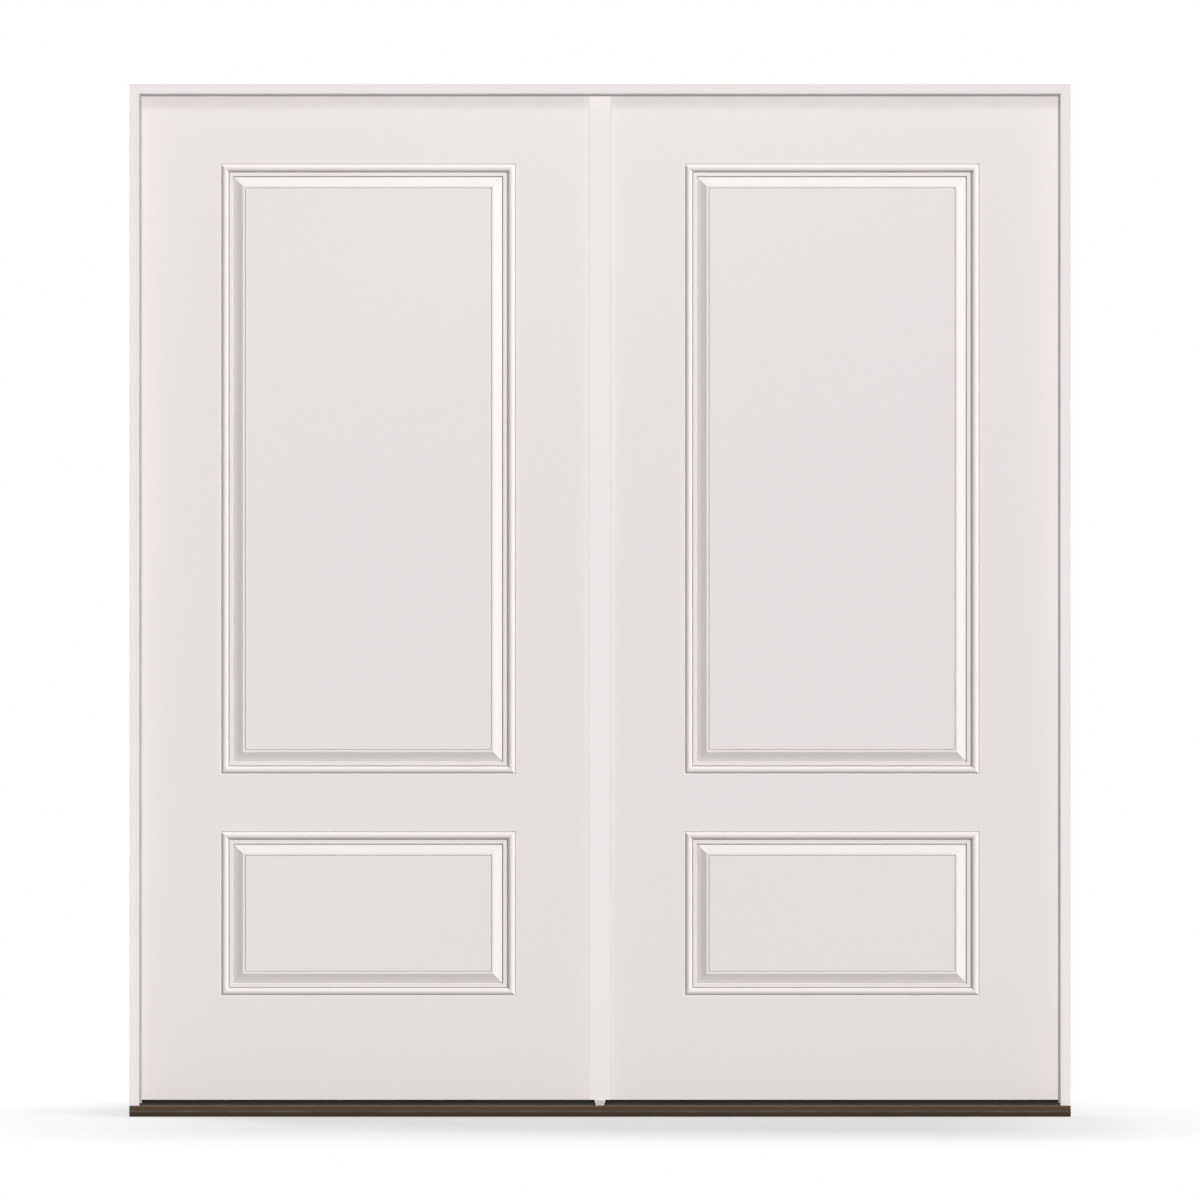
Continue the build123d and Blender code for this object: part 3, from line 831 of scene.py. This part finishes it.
def copies_tree(name, sizes, build_copy):
    """Tree with named sizes that sets what build_copy makes on each point, facing the point's own way."""
    inputs = {"Points": (GEOMETRY, None), **{title: (FLOAT, size) for title, size in sizes.items()}}
    inputs |= {"Finish": (MATERIAL, None), "Turn": (FLOAT, 0.0)}
    tree, entry, leave = start_group(name, "GeometryNodeTree", inputs, {"Copies": GEOMETRY})
    rotation = facing_rotation(tree, entry)
    sockets = {"Points": entry.outputs["Points"], "Instance": build_copy(tree, entry), "Rotation": rotation}
    copies = add_node(tree, "GeometryNodeInstanceOnPoints", sockets)
    real = add_node(tree, "GeometryNodeRealizeInstances", {0: copies.outputs[0]})
    finish = {0: real.outputs[0], "Material": entry.outputs["Finish"]}
    hand_out(tree, leave, Copies=add_node(tree, "GeometryNodeSetMaterial", finish).outputs[0])
    return tree


# %% The three kinds of copy
SCREW_SIDES = 24
HEAD_TOP_SHARE = 0.86
CROSS_LENGTH_SHARE, CROSS_WIDTH_SHARE, CROSS_HEIGHT_SHARE = 1.1, 0.26, 1.6
TIP_SEGMENTS, TIP_RINGS = 28, 12
TIP_SHARES = (1.0, 1.0, 0.42)


def triple(tree, x, y, z):
    return add_node(tree, "ShaderNodeCombineXYZ", {0: x, 1: y, 2: z}).outputs[0]


def screw_head(tree, entry):
    """Low cone with a cross cut into it."""
    radius, height = entry.outputs["Head Radius"], entry.outputs["Head Height"]
    top = calculate(tree, "MULTIPLY", radius, HEAD_TOP_SHARE)
    sizes = {"Vertices": SCREW_SIDES, "Radius Top": top, "Radius Bottom": radius, "Depth": height}
    cone = add_node(tree, "GeometryNodeMeshCone", sizes)
    cut_height = calculate(tree, "MULTIPLY", height, CROSS_HEIGHT_SHARE)
    long_side = calculate(tree, "MULTIPLY", radius, CROSS_LENGTH_SHARE)
    short_side = calculate(tree, "MULTIPLY", radius, CROSS_WIDTH_SHARE)
    cut = add_node(tree, "GeometryNodeMeshBoolean", {"Mesh 1": cone.outputs[0]}, operation="DIFFERENCE")
    for sides in ((long_side, short_side), (short_side, long_side)):
        bar = add_node(tree, "GeometryNodeMeshCube", {"Size": triple(tree, *sides, cut_height)})
        lift = {0: bar.outputs[0], "Translation": triple(tree, 0.0, 0.0, height)}
        tree.links.new(add_node(tree, "GeometryNodeTransform", lift).outputs[0], cut.inputs["Mesh 2"])
    return cut.outputs[0]


def pin_tip(tree, entry):
    """Flattened button on the end of a hinge pin."""
    sizes = {"Segments": TIP_SEGMENTS, "Rings": TIP_RINGS, "Radius": entry.outputs["Tip Radius"]}
    ball = add_node(tree, "GeometryNodeMeshUVSphere", sizes)
    pressed = add_node(tree, "GeometryNodeTransform", {0: ball.outputs[0], "Scale": TIP_SHARES})
    return add_node(tree, "GeometryNodeSetShadeSmooth", {0: pressed.outputs[0]}).outputs[0]


def thumb_ridge(tree, entry):
    """Thin bar across the thumb of a flush bolt."""
    sides = [entry.outputs[f"Ridge {side}"] for side in ("Height", "Length", "Rise")]
    return add_node(tree, "GeometryNodeMeshCube", {"Size": triple(tree, *sides)}).outputs[0]


screw_sizes = {"Head Radius": 4.0 * MM, "Head Height": 0.35 * MM}
ridge_sizes = {"Ridge Length": 4.2 * MM, "Ridge Height": 1.1 * MM, "Ridge Rise": 0.5 * MM}
screw_tree = copies_tree("flat head screws", screw_sizes, screw_head)
tip_tree = copies_tree("hinge pin tips", {"Tip Radius": 5.0 * MM}, pin_tip)
ridge_tree = copies_tree("thumb ridges", ridge_sizes, thumb_ridge)
print("trees:", [screw_tree.name, tip_tree.name, ridge_tree.name])

# %% [markdown]
# ## Setting the copies
# Each set of copies becomes one plain mesh that rides on the body it is fixed to. Most places are read
# from the boxes of the solids, so that the screws stay on the hinges if the door's size changes. Screws
# are never all turned alike, so each is spun by a random part of a quarter turn, with a fixed seed.

# %% One plain mesh of copies for a body
QUARTER_TURN = math.pi / 2


def set_copies(name, tree, spots, finish, slot, body, **sizes):
    """Runs the tree on (place, facing) pairs and keeps the result as a plain mesh on the body."""
    points = bpy.data.meshes.new(name)
    points.from_pydata([place for place, facing in spots], [], [])
    ways = points.attributes.new("facing", "FLOAT_VECTOR", "POINT")
    for row, (place, facing) in zip(ways.data, spots):
        row.vector = facing
    piece = bpy.data.objects.new(name, points)
    scene.collection.objects.link(piece)
    modifier = piece.modifiers.new("copies", "NODES")
    modifier.node_group = tree
    named = {item.name: item.identifier for item in tree.interface.items_tree if item.in_out == "INPUT"}
    for title, value in {"Finish": finish, **sizes}.items():
        modifier[named[title.replace("_", " ")]] = value
    evaluated = piece.evaluated_get(bpy.context.evaluated_depsgraph_get())
    mesh = bpy.data.meshes.new_from_object(evaluated)
    piece.modifiers.remove(modifier)
    piece.data = mesh
    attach(piece, body)
    print(name, "copies:", len(spots), "faces:", len(mesh.polygons))


def set_screws(name, spots, finish, slot, body, **sizes):
    set_copies(name, screw_tree, spots, finish, slot, body, Turn=QUARTER_TURN, **sizes)


# %% Screws in the hinges and tips on their pins
SCREW_ROWS = [(-38 * MM, 33 * MM), (-13 * MM, 20 * MM), (13 * MM, 20 * MM), (38 * MM, 33 * MM)]


def hinge_pin(side, place, kind):
    """Box of a hinge leaf, and the x and y of its pin; kind is jamb or door."""
    low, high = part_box(f"{side}_{place}_{kind}_hinge_leaf")
    return low, high, (low.x + high.x) / 2, high.y - (high.x - low.x) / 2


def hinge_spots(side, kind):
    """Four screws on each hinge leaf of one side."""
    sign = -1 if side == "left" else 1
    skin_low, skin_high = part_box(f"{side}_exterior_skin")
    hinge_edge = max(abs(skin_low.x), abs(skin_high.x))
    spots = []
    for place in PLACES:
        low, high, pin_x, pin_y = hinge_pin(side, place, kind)
        jamb_face = 2 * abs(pin_x) - hinge_edge
        x, facing = (jamb_face, -sign) if kind == "jamb" else (hinge_edge, sign)
        middle_z = (low.z + high.z) / 2
        places = [(sign * x, pin_y - set_in, middle_z + rise) for rise, set_in in SCREW_ROWS]
        spots += [(spot, (facing, 0, 0)) for spot in places]
    return spots


jamb_spots = hinge_spots("left", "jamb") + hinge_spots("right", "jamb")
set_screws("jamb_hinge_screws", jamb_spots, hinge_steel, "hinge_steel", "frame")
for side, body in LEAF_BODY.items():
    set_screws(f"{side}_door_hinge_screws", hinge_spots(side, "door"), hinge_steel, "hinge_steel", body)
tip_spots = []
for side in LEAF_BODY:
    for place in PLACES:
        low, high, pin_x, pin_y = hinge_pin(side, place, "jamb")
        tip_spots += [((pin_x, pin_y, high.z), UP), ((pin_x, pin_y, low.z), DOWN)]
set_copies("hinge_pin_tips", tip_tree, tip_spots, hinge_steel, "hinge_steel", "frame")

# %% Screws in strike, sill cap and astragal
STRIKE_INSET = 8 * MM
CAP_SCREWS = [-820 * MM, -410 * MM, 410 * MM, 820 * MM]
CAP_HEAD = 0.2 * MM
ASTRAGAL_SCREW_PITCH = 300 * MM
ASTRAGAL_SCREWS = 6
STEM_FACE = 6 * MM
BACK_CELL = 37.3 * MM
low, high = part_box("head_bolt_strike")
middle_y = (low.y + high.y) / 2
strike_spots = [((x, middle_y, low.z), DOWN) for x in (low.x + STRIKE_INSET, high.x - STRIKE_INSET)]
set_screws("strike_screws", strike_spots, bolt_steel, "bolt_steel", "frame")
low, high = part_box("sill_cap")
cap_spots = [((x, (low.y + high.y) / 2, high.z), UP) for x in CAP_SCREWS]
set_screws("cap_screws", cap_spots, bolt_steel, "bolt_steel", "frame", Head_Height=CAP_HEAD)
low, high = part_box("astragal")
first = (low.z + high.z - ASTRAGAL_SCREW_PITCH * (ASTRAGAL_SCREWS - 1)) / 2
levels = [first + ASTRAGAL_SCREW_PITCH * row for row in range(ASTRAGAL_SCREWS)]
stem_spots = [((STEM_FACE, BACK_CELL, z), RIGHT) for z in levels]
set_screws("astragal_screws", stem_spots, bolt_steel, "bolt_steel", "passive_leaf")

# %% Ridges on the thumbs of the flush bolts
THUMB_HEIGHT = 24 * MM
RIDGES = 6
for place in ("top", "bottom"):
    low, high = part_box(f"{place}_flush_bolt")
    thumb_z = low.z + THUMB_HEIGHT / 2 if place == "top" else high.z - THUMB_HEIGHT / 2
    rows = [THUMB_HEIGHT * ((row + 0.5) / RIDGES - 0.5) for row in range(RIDGES)]
    spots = [((high.x, (low.y + high.y) / 2, thumb_z + rise), RIGHT) for rise in rows]
    set_copies(f"{place}_thumb_ridges", ridge_tree, spots, bolt_steel, "bolt_steel", f"{place}_bolt")

# %% [markdown]
# ## Camera
# The photograph is a straight view of the outside, as an elevation drawing would show it. An
# orthographic camera could give that, but a camera far away with a long lens sees nearly the same and
# still sees a little of the floor in front of the sill.

# %% Camera
VIEW_WIDTH = 2.4114
VIEW_CENTRE = 1.0385
VIEW_DISTANCE = 60.0
camera_data = bpy.data.cameras.new("front elevation")
camera_data.lens = camera_data.sensor_width * VIEW_DISTANCE / VIEW_WIDTH
camera_data.clip_end = 3 * VIEW_DISTANCE
camera = bpy.data.objects.new("front elevation", camera_data)
camera.location = (0, cad_box[0].y - VIEW_DISTANCE, VIEW_CENTRE)
camera.rotation_euler = (math.radians(90), 0, 0)
scene.collection.objects.link(camera)
scene.camera = camera
print("lens:", round(camera_data.lens), "mm for a sensor of", camera_data.sensor_width, "mm")

# %% [markdown]
# ## Lamps
# The light on the mouldings comes from the upper right, soft enough to have no hard shadow edge. The
# key lamp gives it, with a softbox from the front to fill the folds. On the frame that key would draw
# a bright side and a dark one, which the photograph doesn't have, so the frame and the sill have a lamp
# of their own from straight ahead, called the wash. A back light and two side fills serve the other
# views. All but the softbox are suns, whose light doesn't grow on a leaf that swings towards them.

# %% Lamps
DOOR_MIDDLE = Vector((0, 0, 1.04))
SOFTBOX_TARGET = Vector((0, 0, 1.3))
FILL_REACH = 6.5


def add_lamp(name, kind, place, energy, target=DOOR_MIDDLE, **settings):
    data = bpy.data.lights.new(name, kind)
    data.energy = energy
    for title, value in settings.items():
        setattr(data, title, value)
    lamp = bpy.data.objects.new(name, data)
    lamp.location = place
    lamp.rotation_euler = (target - lamp.location).to_track_quat("-Z", "Y").to_euler()
    lamp.visible_camera = False
    scene.collection.objects.link(lamp)
    return lamp


def add_sun(name, place, energy, degrees):
    return add_lamp(name, "SUN", place, energy, angle=math.radians(degrees))


key = add_sun("key", (6.0, -6.25, 4.9), energy=3.2, degrees=16)
wash = add_sun("frame wash", (0.0, -6.0, 3.4), energy=2.6, degrees=16)
softbox = add_lamp(
    "front softbox",
    "AREA",
    (0.0, -4.8, 4.7),
    energy=65,
    target=SOFTBOX_TARGET,
    shape="RECTANGLE",
    size=4.0,
    size_y=1.6,
)
back_light = add_sun("back light", (-2.6, 6.4, 4.0), energy=2.1, degrees=30)
fills = [
    add_sun(name, (x, 1.2, 2.6), energy=1.2, degrees=25)
    for name, x in (("left fill", -FILL_REACH), ("right fill", FILL_REACH))
]
print("lamps:", [lamp.name for lamp in (key, wash, softbox, back_light, *fills)])

# %% [markdown]
# ## Which lamp lights what
# Light linking gives each lamp a list of pieces to light and a list of pieces that cast its shadow. The
# wash lights the frame and the sill alone, the key leaves them out, and the softbox leaves out the
# frame. The frame members and their seals cast no shadow from key and wash, because the photograph has
# none of their hard shadows on the leaves. The head's level top would catch both side fills and turn
# white, so the fills leave it out.

# %% Light linking
FRAME_MEMBERS = ["left_jamb", "right_jamb", "head_jamb", "astragal"]
WASHED = FRAME_MEMBERS + ["sill_deck", "sill_cap", "sill_core", "astragal_sill_pad"]
SHADOWLESS = FRAME_MEMBERS + ["left_jamb_seal", "right_jamb_seal", "head_seal"]


def linked(title, names, state):
    """A collection of pieces that a lamp treats apart."""
    group = bpy.data.collections.new(title)
    for name in names:
        group.objects.link(shown[name])
    for member in group.collection_objects:
        member.light_linking.link_state = state
    return group


key.light_linking.receiver_collection = linked("not lit by the key", WASHED, "EXCLUDE")
softbox.light_linking.receiver_collection = linked("not lit by the softbox", FRAME_MEMBERS, "EXCLUDE")
wash.light_linking.receiver_collection = linked("lit by the wash", WASHED, "INCLUDE")
for lamp in fills:
    lamp.light_linking.receiver_collection = linked(f"not lit by the {lamp.name}", ["head_jamb"], "EXCLUDE")
for lamp in (key, wash):
    lamp.light_linking.blocker_collection = linked(f"no shadow from {lamp.name}", SHADOWLESS, "EXCLUDE")
print("pieces under the wash:", len(WASHED), "pieces without its shadow:", len(SHADOWLESS))

# %% [markdown]
# ## Background and floor
# The background is plain white, and the door stands on a pale floor that fades into it. Near the door
# the floor stays grey, and its soft fade to white in front of the sill is painted shade shaped like a drop
# shadow; the door's real shadows fall on that grey too. White all around would also light the door from
# every side and wash out its folds. So the room is white only where it is seen, by the camera or in a
# mirror, and dim for all other light.

# %% Background
ROOM_LIGHT = 0.19


def rays_seen(tree):
    """Output that is 1 for rays which show the surface itself: from the camera, mirrors and glass."""
    path = add_node(tree, "ShaderNodeLightPath")
    seen = path.outputs["Is Camera Ray"]
    for title in ("Is Glossy Ray", "Is Transmission Ray"):
        seen = calculate(tree, "MAXIMUM", seen, path.outputs[title])
    return seen


world = bpy.data.worlds.new("studio")
scene.world = world
world.use_nodes = True
sky = world.node_tree
sky.nodes["Background"].inputs["Color"].default_value = (1, 1, 1, 1)
sky.links.new(remap(sky, rays_seen(sky), low=ROOM_LIGHT), sky.nodes["Background"].inputs["Strength"])
print("room light:", ROOM_LIGHT)

# %% Floor
FLOOR_REACH = 60.0
SEEN_GREY, SEEN_GLOW, BOUNCE_GREY = 0.5, 0.21, 0.18
# The grey near the door and its soft rectangle are painted shade, shaped like the door's drop shadow.
FADE_CENTRE = (0.0, -0.6, 0.0)
FADE_NEAR, FADE_FAR = (0.55, 0.4, 1.0), (1.35, 3.2, 2.0)


def painted_shade_fade(tree):
    """Painted shade: 0 near the door, where the floor stays grey, rising to 1 outside a soft rectangle in
    front of it.
    """
    from_centre = {0: object_place(tree), 1: FADE_CENTRE}
    offset = add_node(tree, "ShaderNodeVectorMath", from_centre, operation="SUBTRACT")
    apart = add_node(tree, "ShaderNodeVectorMath", {0: offset.outputs[0]}, operation="ABSOLUTE")
    limits = {"Vector": apart.outputs[0], "From Min": FADE_NEAR, "From Max": FADE_FAR}
    soft = {"data_type": "FLOAT_VECTOR", "interpolation_type": "SMOOTHSTEP"}
    reached = add_node(tree, "ShaderNodeMapRange", limits, **soft)
    away = add_node(tree, "ShaderNodeVectorMath", {0: reached.outputs["Vector"]}, operation="LENGTH")
    return remap(tree, away.outputs["Value"])


def diffuse(tree, grey):
    return add_node(tree, "ShaderNodeBsdfDiffuse", {"Color": (grey, grey, grey, 1)}).outputs[0]


def glow(tree, strength):
    return add_node(tree, "ShaderNodeEmission", {"Color": (1, 1, 1, 1), "Strength": strength}).outputs[0]


def mix_shaders(tree, share, first, second):
    return add_node(tree, "ShaderNodeMixShader", {0: share, 1: first, 2: second}).outputs[0]


floor_mesh = bpy.data.meshes.new("floor")
floor_mesh.from_pydata([(x * FLOOR_REACH, y * FLOOR_REACH, 0) for x, y in RING_CORNERS], [], [(0, 1, 2, 3)])
floor = bpy.data.objects.new("floor", floor_mesh)
scene.collection.objects.link(floor)
floor_finish = bpy.data.materials.new("pale floor")
floor_finish.use_nodes = True
tree = floor_finish.node_tree
tree.nodes.remove(tree.nodes["Principled BSDF"])
near = add_node(tree, "ShaderNodeAddShader", {0: diffuse(tree, SEEN_GREY), 1: glow(tree, SEEN_GLOW)})
seen_floor = mix_shaders(tree, painted_shade_fade(tree), near.outputs[0], glow(tree, 1.0))
floor_shader = mix_shaders(tree, rays_seen(tree), diffuse(tree, BOUNCE_GREY), seen_floor)
tree.links.new(floor_shader, tree.nodes["Material Output"].inputs["Surface"])
floor_mesh.materials.append(floor_finish)
print("floor nodes:", len(tree.nodes))
